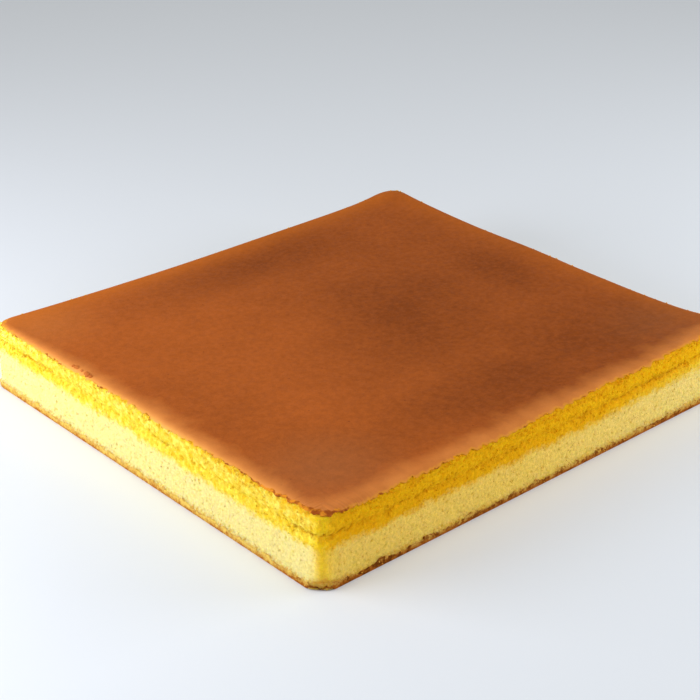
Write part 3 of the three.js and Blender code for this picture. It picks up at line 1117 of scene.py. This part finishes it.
def border_of(index):
    """The loop of point numbers round a grid."""
    return np.concatenate([index[:-1, 0], index[-1, :-1], index[:0:-1, -1], index[0, :0:-1]])


def close_back(border, inner_first):
    """Quads from the border loop to a second loop of as many points, and one face to close it."""
    count = len(border)
    step = np.arange(count)
    following = (step + 1) % count
    inner = inner_first + step
    quads = np.stack([border[following], border[step], inner, inner_first + following], -1)
    share = step / count
    u = np.stack([share + 1 / count, share, share, share + 1 / count], -1)
    v = np.tile(np.repeat(UV_SIDES, 2), (count, 1))
    turn = 2 * np.pi * share
    lid_uv = np.array(UV_LID) + np.stack([np.cos(turn), np.sin(turn)], -1) * UV_LID_REACH
    return quads.tolist(), np.stack([u, v], -1), inner[::-1].tolist(), lid_uv[::-1]


def make_top_crust(grid):
    shape = grid.x.shape
    index = np.arange(grid.x.size).reshape(shape)
    points = np.stack([grid.x, grid.y, grid.z], -1).reshape(-1, 3)
    quads = grid_faces(index, closed=False).tolist()
    grid_uvs = strip_uvs(shape[0] - 1, shape[1] - 1, strips=1, share=UV_SEEN, margin=0.0)

    border = border_of(index)
    back = points[border] * (BACK_SIZE, BACK_SIZE, 1)
    back[:, 2] = BACK_LEVEL
    points = np.concatenate([points, back])
    side_quads, side_uvs, lid, lid_uv = close_back(border, index.size)
    faces = quads + side_quads + [lid]
    hidden = np.zeros(len(back))
    attributes = {label: np.concatenate([getattr(grid, label).ravel(), hidden]) for label in SKIN_MARKS}
    crust = build_piece("top_crust", points, faces, [grid_uvs, side_uvs, lid_uv], attributes, top_crust_skin)
    sharpen(crust, np.concatenate([border, np.arange(index.size, len(points))]))
    return crust


top_crust = make_top_crust(crust_grid)
finish_piece(top_crust)

# %% [markdown]
# ## Material and piece: the base crust
# Where the sponge stood on the tin it has a skin about as thick as card, with a torn upper
# edge. `toast` goes from golden on the lit left and back to dark brown, flecked with
# black, along the shaded front and right: partly the tin's hotter side, partly painted shade.


# %% Base crust material
BASE_GOLD = (0.70, 0.49, 0.10)
BASE_BROWN = (0.37, 0.107, 0.009)
BASE_BURNT = (0.07, 0.015, 0.001)


def base_crust_material():
    material, t, shader = new_material("base_crust", specular=0.02)
    place = t.own_place()
    level, toast = t.marks("level", "toast")
    low_down = t.remap(level, 4.0, 0.5, -0.2, 0.5, smooth=False)
    # The darker, flecked browning along the front and right is partly painted shade.
    browning = t.plus(t.plus(toast, t.sway(place, 3.0, 0.6, 4, 0.7)), low_down)
    brown = t.blend(browning, BASE_GOLD, BASE_BROWN)
    burnt = t.times(t.remap(t.noise(place, 3.0, 5, 0.75), 0.48, 0.58), t.remap(toast, 0.3, 1.0, 0.0, 0.8))
    t.feed(shader["Base Color"], t.blend(burnt, brown, BASE_BURNT))
    t.feed(shader["Roughness"], 0.75)
    t.roughen(shader, t.noise(place, 0.9, 4, 0.7), strength=0.5, depth=0.5)
    return material


base_crust_skin = base_crust_material()
print("base crust material:", len(base_crust_skin.node_tree.nodes), "nodes")


# %% Make the base crust
BASE_STEP = 0.6
BASE_CLIMB = 9
BASE_STRIPS = 12
BASE_TEAR = 0.55
BASE_HOLD = 0.75
# Toast on the lit sides and on the shaded front and right: the difference is partly painted shade.
LIT_SIDE_TOAST = 0.3
SHADED_SIDE_TOAST = 0.76
NEAR_TOAST = 0.28
CRUSHED_AROUND = (2 * ARC_STEPS + SIDE_STEPS[0] + SIDE_STEPS[1] + ARC_STEPS / 2) / STATION_COUNT
CRUSHED_REACH = 16.0
CRUSHED_THINNING = 1.7


def base_rows(around):
    """Level, inset and corner radius of each row, from the tin's floor up and inwards."""
    tear = BASE_TEAR * ragged(around, seed=21, longest=40, shortest=2.5)
    near_corner = bell((around - CRUSHED_AROUND) * PERIMETER, CRUSHED_REACH)
    torn_level = BASE_HEIGHT + tear - CRUSHED_THINNING * near_corner
    rows = []
    for share in np.linspace(0, 1, BASE_CLIMB):
        roll = share * np.pi / 2
        level = torn_level * (1 - np.cos(roll))
        inset = BASE_UNDERCUT * (1 - np.sin(roll))
        radius = BASE_CORNER + (WALL_CORNER + WALL_SETBACK - BASE_CORNER) * share
        rows.append((level, inset, radius))
    top_level, top_inset, radius = rows[-1]
    rows.append((top_level + 0.4, top_inset + WALL_SETBACK - FLARE + 0.4, radius))
    rows.append((top_level - 1.0, top_inset + WALL_SETBACK + 2.3, radius))
    return [np.stack([np.broadcast_to(row[k], around.shape) for row in rows], -1) for k in range(3)]


def make_base_crust():
    *columns, around = walk(BASE_STEP, BASE_CORNER)
    level, inset, radius = base_rows(around)
    shape = level.shape
    corner, turn, along = (np.broadcast_to(a[:, None], shape) for a in columns)
    x, y = outline(corner, turn, along, inset, radius, level)
    z = level / HEIGHT * top_height(x, y)
    points = np.stack([x, y, z], -1).reshape(-1, 3)

    index = np.arange(level.size).reshape(shape)
    underside, lid = index[::-1, 0], index[:, -1]
    flat = 0.24 * points[:, :2] / (2 * HALF_LENGTH)
    under_uv, lid_uv = flat[underside] + (0.125, 0.875), flat[lid] + (0.625, 0.875)
    faces = grid_faces(index).tolist() + [underside.tolist(), lid.tolist()]
    seen = np.zeros(shape)
    seen[:, 2 : BASE_CLIMB + 1] = BASE_HOLD
    share = share_of_rim(x, y)
    from_tip = from_near_tip(share)
    front = np.where(share < 0.25, between(share * PERIMETER, 200, 0), between(from_tip, -32, -12))
    toast = LIT_SIDE_TOAST + (SHADED_SIDE_TOAST - LIT_SIDE_TOAST) * front + NEAR_TOAST * bell(from_tip - 28, 36)
    attributes = {
        "level": level.ravel(),
        "toast": toast.ravel(),
        "out": np.stack([np.cos(turn), np.sin(turn), np.zeros(shape)], -1).reshape(-1, 3),
        "hold": seen.ravel(),
    }
    uvs = [strip_uvs(shape[0], shape[1] - 1, BASE_STRIPS, 0.75), under_uv, lid_uv]
    base = build_piece("base_crust", points, faces, uvs, attributes, base_crust_skin)
    sharpen(base, np.concatenate([underside, lid]))
    return base


toasted_crumb = crumb_relief_tree(base_crust_skin)
base_crust = apply_tree(make_base_crust(), toasted_crumb, {"Bubble Depth": 0.3, "Ledge Rise": 0.0})
finish_piece(base_crust)

# %% [markdown]
# ## Loose crumbs
# Where the paper tore away, single crumbs stand on the wall. They are lumpy little balls about
# a millimetre across, set half into the surface: thousands of them, so each has only twenty
# faces. Geometry Nodes strew them over the wall, more of them where the crumb is torn most,
# turn and size each at random, and carry the wall's `level` along for the colour.

# %% Tree of the loose crumbs
STREWN = {"Crumbs Per Square Metre": 62000.0, "Smallest": 0.35, "Largest": 0.85}
FULL_TURN = (6.28, 6.28, 6.28)


def random_size(t, given, seed):
    """A size between the tree's `Smallest` and `Largest`, drawn anew for every copy."""
    size = t.node("FunctionNodeRandomValue", {"Seed": seed}, data_type="FLOAT")
    t.feed(size.inputs[2], t.times(given["Smallest"], MM))
    t.feed(size.inputs[3], t.times(given["Largest"], MM))
    return size.outputs[1]


def strewn_tree(material, wall):
    group, t, given = start_tree("strewn_crumbs", STREWN)
    surface = t.node("GeometryNodeObjectInfo", {"Object": wall}).outputs["Geometry"]
    level = named(t, "level")
    band = t.plus(t.remap(level, 30.0, 33.0, 0.4, 1.0), t.remap(level, 44.0, 47.0, 0.0, 0.8))
    foot = t.remap(level, 8.0, 4.0, 0.0, 0.7)
    weight = t.times(t.plus(band, foot), t.remap(named(t, "hold"), 0.3, 0.9))
    density = t.times(weight, given["Crumbs Per Square Metre"])
    strewn = {"Mesh": surface, "Density": density, "Seed": 7}
    spots = t.node("GeometryNodeDistributePointsOnFaces", strewn, distribute_method="RANDOM")
    ball = t.node("GeometryNodeMeshIcoSphere", {"Radius": 1.0, "Subdivisions": 1})
    wobble = t.node("ShaderNodeTexNoise", {"Scale": 1.1, "Detail": 1.0}).outputs["Color"]
    wobble = t.vector("SUBTRACT", wobble, (0.5, 0.5, 0.5))[0]
    uneven = t.node("GeometryNodeSetPosition", {"Geometry": ball.outputs[0], "Offset": wobble})
    turn = t.node("FunctionNodeRandomValue", {"Max": FULL_TURN, "Seed": 11}, data_type="FLOAT_VECTOR")
    placed = {
        "Points": spots.outputs[0],
        "Instance": uneven.outputs[0],
        "Rotation": turn.outputs[0],
        "Scale": random_size(t, given, 13),
    }
    crumbs = t.node("GeometryNodeInstanceOnPoints", placed)
    end_tree(t, crumbs.outputs[0], material)
    return group


holder = add_object("loose_crumbs", bpy.data.meshes.new("loose_crumbs"))
loose_crumbs = apply_tree(holder, strewn_tree(loose_crumb, crumb_wall))

# %% [markdown]
# ## Blisters on the left rim
# Steam lifted the skin into a few small blisters close together on the left rim. Each is a
# flattened ball, half sunk. A short line of points is scattered along the rim, and every ball
# gets its own size; all lean at the same tilt.

# %% Tree and piece of the blisters
BLISTERS = {"Smallest": 1.0, "Largest": 2.0, "Scatter": 2.0, "Flatness": 0.55}
BLISTER_COUNT = 9
BLISTER_RUN = (58, 78)
BLISTER_TURN = 62
BLISTER_TILT = -28
BLISTER_MARKS = {"rim": 9.0, "pale": 0.35}


def blister_tree(material):
    group, t, given = start_tree("blisters", BLISTERS)
    ball = t.node("GeometryNodeMeshUVSphere", {"Segments": 16, "Rings": 10, "Radius": 1.0})
    reach = t.times(given["Scatter"], MM)
    low = t.node("ShaderNodeCombineXYZ", {1: t.times(reach, -1.0)})
    high = t.node("ShaderNodeCombineXYZ", {0: t.times(reach, 0.6), 1: reach})
    jump = t.node("FunctionNodeRandomValue", {"Seed": 5}, data_type="FLOAT_VECTOR")
    t.feed(jump.inputs["Min"], low.outputs[0])
    t.feed(jump.inputs["Max"], high.outputs[0])
    spots = t.node("GeometryNodeMeshToPoints", {"Mesh": given["Geometry"]})
    moved = t.node("GeometryNodeSetPosition", {"Geometry": spots.outputs[0], "Offset": jump.outputs[0]})
    flat = t.node("ShaderNodeCombineXYZ", {0: 1.0, 1: 1.0, 2: given["Flatness"]})
    placed = {
        "Points": moved.outputs[0],
        "Instance": ball.outputs[0],
        "Rotation": (0.0, math.radians(BLISTER_TILT), 0.0),
        "Scale": t.lengthened(flat.outputs[0], random_size(t, given, 9)),
    }
    domes = t.node("GeometryNodeInstanceOnPoints", placed)
    for label, value in BLISTER_MARKS.items():
        stored = {"Name": label, "Value": value, "Geometry": domes.outputs[0]}
        domes = t.node("GeometryNodeStoreNamedAttribute", stored, data_type="FLOAT", domain="INSTANCE")
    end_tree(t, domes.outputs[0], material)
    return group


rim_inset, rim_level = roll_place(math.radians(BLISTER_TURN))
rim_y = np.linspace(*BLISTER_RUN, BLISTER_COUNT)
rim_x = np.full(BLISTER_COUNT, rim_inset - HALF_LENGTH)
rim_z = rim_level / HEIGHT * top_height(rim_x, rim_y)
seeds = bpy.data.meshes.new("blisters")
seeds.from_pydata((np.stack([rim_x, rim_y, rim_z], -1) * MM).tolist(), [], [])
blisters = apply_tree(add_object("blisters", seeds), blister_tree(top_crust_skin))

# %% Finish the scattered pieces
finish_piece(crumb_wall)
finish_piece(loose_crumbs)
finish_piece(blisters)
